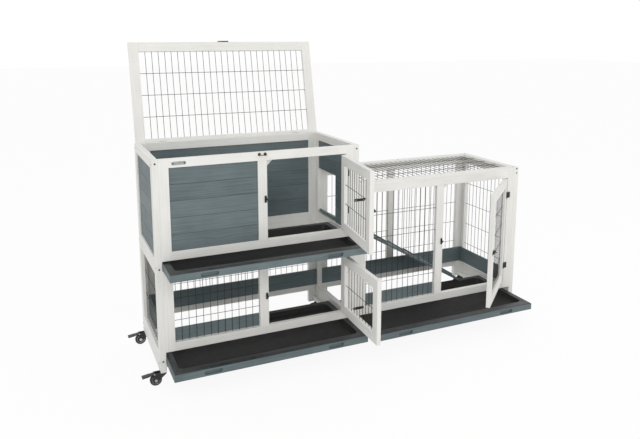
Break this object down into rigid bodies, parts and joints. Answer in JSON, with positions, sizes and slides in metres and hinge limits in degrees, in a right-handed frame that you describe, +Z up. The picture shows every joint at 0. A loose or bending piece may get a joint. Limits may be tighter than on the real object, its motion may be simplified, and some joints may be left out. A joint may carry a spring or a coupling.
{
  "type": "small animal enclosure",
  "caption": "Two-storey wooden rabbit hutch with a wire run, pull-out trays, wire doors, an opening lid, a ramp and casters.",
  "frame": {"origin": "centre of the bounding box's base on the floor, with the lid, doors and trays open as pictured", "axes": "X along the object from the hutch to the run, Y from the front to the back, Z up"},
  "size_m": [1.918, 0.9594, 1.4236],
  "materials": {
    "white_wood": "satin white paint",
    "slate_wood": "satin slate-grey paint",
    "welded_wire": "black coated welded wire",
    "black_plastic": "matte black",
    "black_steel": "black painted steel",
    "aged_brass": "aged brass",
    "rubber": "matte black",
    "zinc_steel": "bright zinc"
  },
  "bodies": {
    "enclosure": {"left_panel_frame": "white_wood", "right_panel_frame": "white_wood", "back_panel_frame": "white_wood", "upper_front_frame": "white_wood", "lower_front_frame": "white_wood", "left_boards": "slate_wood", "back_boards": "slate_wood", "right_boards": "slate_wood", "front_boards": "slate_wood", "hutch_mesh": "welded_wire", "run_front_frame": "white_wood", "run_back_frame": "white_wood", "run_right_frame": "white_wood", "run_roof_frame": "white_wood", "run_mesh": "welded_wire", "kick_boards": "slate_wood", "tray_runners": "white_wood", "door_corner_stops": "white_wood", "connecting_plates": "black_steel", "fixed_hinge_leaves": "black_steel", "latch_keepers": "black_steel", "lid_catch": "aged_brass", "caster_plates": "zinc_steel"},
    "lid": {"lid_frame": "white_wood", "lid_mesh": "welded_wire", "lid_fittings": "black_steel"},
    "hasp": {"lid_hasp": "aged_brass"},
    "ramp": {"ramp": "slate_wood"},
    "upper_door": {"upper_door_frame": "white_wood", "upper_door_mesh": "welded_wire", "upper_door_fittings": "black_steel"},
    "upper_door_bolt": {"upper_door_bolt": "black_steel"},
    "lower_door": {"lower_door_frame": "white_wood", "lower_door_mesh": "welded_wire", "lower_door_fittings": "black_steel"},
    "lower_door_bolt": {"lower_door_bolt": "black_steel"},
    "run_door": {"run_door_frame": "white_wood", "run_door_mesh": "welded_wire", "run_door_fittings": "black_steel"},
    "run_door_bolt": {"run_door_bolt": "black_steel"},
    "upper_tray": {"upper_tray_frame": "slate_wood", "upper_tray_liner": "black_plastic"},
    "lower_tray": {"lower_tray_frame": "slate_wood", "lower_tray_liner": "black_plastic"},
    "run_tray": {"run_tray_frame": "slate_wood", "run_tray_liner": "black_plastic"},
    "front_left_fork": {"front_left_caster_fork": "black_steel"},
    "front_left_wheel": {"front_left_caster_wheel": "rubber"},
    "front_left_brake": {"front_left_brake_pedal": "black_plastic"},
    "back_left_fork": {"back_left_caster_fork": "black_steel"},
    "back_left_wheel": {"back_left_caster_wheel": "rubber"},
    "back_left_brake": {"back_left_brake_pedal": "black_plastic"},
    "front_middle_fork": {"front_middle_caster_fork": "black_steel"},
    "front_middle_wheel": {"front_middle_caster_wheel": "rubber"},
    "back_middle_fork": {"back_middle_caster_fork": "black_steel"},
    "back_middle_wheel": {"back_middle_caster_wheel": "rubber"},
    "front_right_fork": {"front_right_caster_fork": "black_steel"},
    "front_right_wheel": {"front_right_caster_wheel": "rubber"},
    "back_right_fork": {"back_right_caster_fork": "black_steel"},
    "back_right_wheel": {"back_right_caster_wheel": "rubber"}
  },
  "joints": [
    {"name": "lid_hinge", "type": "hinge", "parent": "enclosure", "child": "lid", "pos_m": [-0.4235, 0.34493, 0.9623], "axis": [1, 0, 0], "range_deg": [0, 102.5]},
    {"name": "hasp_hinge", "type": "hinge", "parent": "lid", "child": "hasp", "pos_m": [-0.4235, 0.45371, 1.42062], "axis": [1, 0, 0], "range_deg": [0, 176]},
    {"name": "ramp_lift", "type": "hinge", "parent": "enclosure", "child": "ramp", "pos_m": [0.0365, 0.20343, 0.5503], "axis": [0, -1, 0], "range_deg": [0, 25]},
    {"name": "upper_door_hinge", "type": "hinge", "parent": "enclosure", "child": "upper_door", "pos_m": [-0.031, -0.11107, 0.7535], "axis": [0, 0, 1], "range_deg": [-82, 40]},
    {"name": "upper_door_bolt_slide", "type": "slide", "parent": "upper_door", "child": "upper_door_bolt", "axis": [-0.1392, -0.9903, 0], "range_m": [0, 0.016]},
    {"name": "lower_door_hinge", "type": "hinge", "parent": "enclosure", "child": "lower_door", "pos_m": [-0.031, -0.11107, 0.326], "axis": [0, 0, 1], "range_deg": [-88, 34]},
    {"name": "lower_door_bolt_slide", "type": "slide", "parent": "lower_door", "child": "lower_door_bolt", "axis": [-0.0349, -0.9994, 0], "range_m": [0, 0.016]},
    {"name": "run_door_hinge", "type": "hinge", "parent": "enclosure", "child": "run_door", "pos_m": [0.889, -0.11107, 0.459], "axis": [0, 0, 1], "range_deg": [-42, 80]},
    {"name": "run_door_bolt_slide", "type": "slide", "parent": "run_door", "child": "run_door_bolt", "axis": [-0.7431, -0.6691, 0], "range_m": [0, 0.016]},
    {"name": "upper_tray_slide", "type": "slide", "parent": "enclosure", "child": "upper_tray", "axis": [0, 1, 0], "range_m": [-0.22, 0.148]},
    {"name": "lower_tray_slide", "type": "slide", "parent": "enclosure", "child": "lower_tray", "axis": [0, 1, 0], "range_m": [-0.21, 0.158]},
    {"name": "run_tray_slide", "type": "slide", "parent": "enclosure", "child": "run_tray", "axis": [0, 1, 0], "range_m": [-0.192, 0.176]},
    {"name": "front_left_swivel", "type": "hinge", "parent": "enclosure", "child": "front_left_fork", "pos_m": [-0.871, -0.08757, 0.053], "axis": [0, 0, 1], "continuous": true},
    {"name": "front_left_roll", "type": "hinge", "parent": "front_left_fork", "child": "front_left_wheel", "pos_m": [-0.902, -0.08757, 0.025], "axis": [0, 1, 0], "continuous": true},
    {"name": "front_left_brake_press", "type": "hinge", "parent": "front_left_fork", "child": "front_left_brake", "pos_m": [-0.908, -0.08757, 0.0535], "axis": [0, -1, 0], "range_deg": [0, 10]},
    {"name": "back_left_swivel", "type": "hinge", "parent": "enclosure", "child": "back_left_fork", "pos_m": [-0.871, 0.32143, 0.053], "axis": [0, 0, 1], "continuous": true},
    {"name": "back_left_roll", "type": "hinge", "parent": "back_left_fork", "child": "back_left_wheel", "pos_m": [-0.902, 0.32143, 0.025], "axis": [0, 1, 0], "continuous": true},
    {"name": "back_left_brake_press", "type": "hinge", "parent": "back_left_fork", "child": "back_left_brake", "pos_m": [-0.908, 0.32143, 0.0535], "axis": [0, -1, 0], "range_deg": [0, 10]},
    {"name": "front_middle_swivel", "type": "hinge", "parent": "enclosure", "child": "front_middle_fork", "pos_m": [0.024, -0.08757, 0.053], "axis": [0, 0, 1], "continuous": true},
    {"name": "front_middle_roll", "type": "hinge", "parent": "front_middle_fork", "child": "front_middle_wheel", "pos_m": [-0.007, -0.08757, 0.025], "axis": [0, 1, 0], "continuous": true},
    {"name": "back_middle_swivel", "type": "hinge", "parent": "enclosure", "child": "back_middle_fork", "pos_m": [0.024, 0.32143, 0.053], "axis": [0, 0, 1], "continuous": true},
    {"name": "back_middle_roll", "type": "hinge", "parent": "back_middle_fork", "child": "back_middle_wheel", "pos_m": [-0.007, 0.32143, 0.025], "axis": [0, 1, 0], "continuous": true},
    {"name": "front_right_swivel", "type": "hinge", "parent": "enclosure", "child": "front_right_fork", "pos_m": [0.944, -0.08757, 0.053], "axis": [0, 0, 1], "continuous": true},
    {"name": "front_right_roll", "type": "hinge", "parent": "front_right_fork", "child": "front_right_wheel", "pos_m": [0.913, -0.08757, 0.025], "axis": [0, 1, 0], "continuous": true},
    {"name": "back_right_swivel", "type": "hinge", "parent": "enclosure", "child": "back_right_fork", "pos_m": [0.944, 0.32143, 0.053], "axis": [0, 0, 1], "continuous": true},
    {"name": "back_right_roll", "type": "hinge", "parent": "back_right_fork", "child": "back_right_wheel", "pos_m": [0.913, 0.32143, 0.025], "axis": [0, 1, 0], "continuous": true}
  ]
}
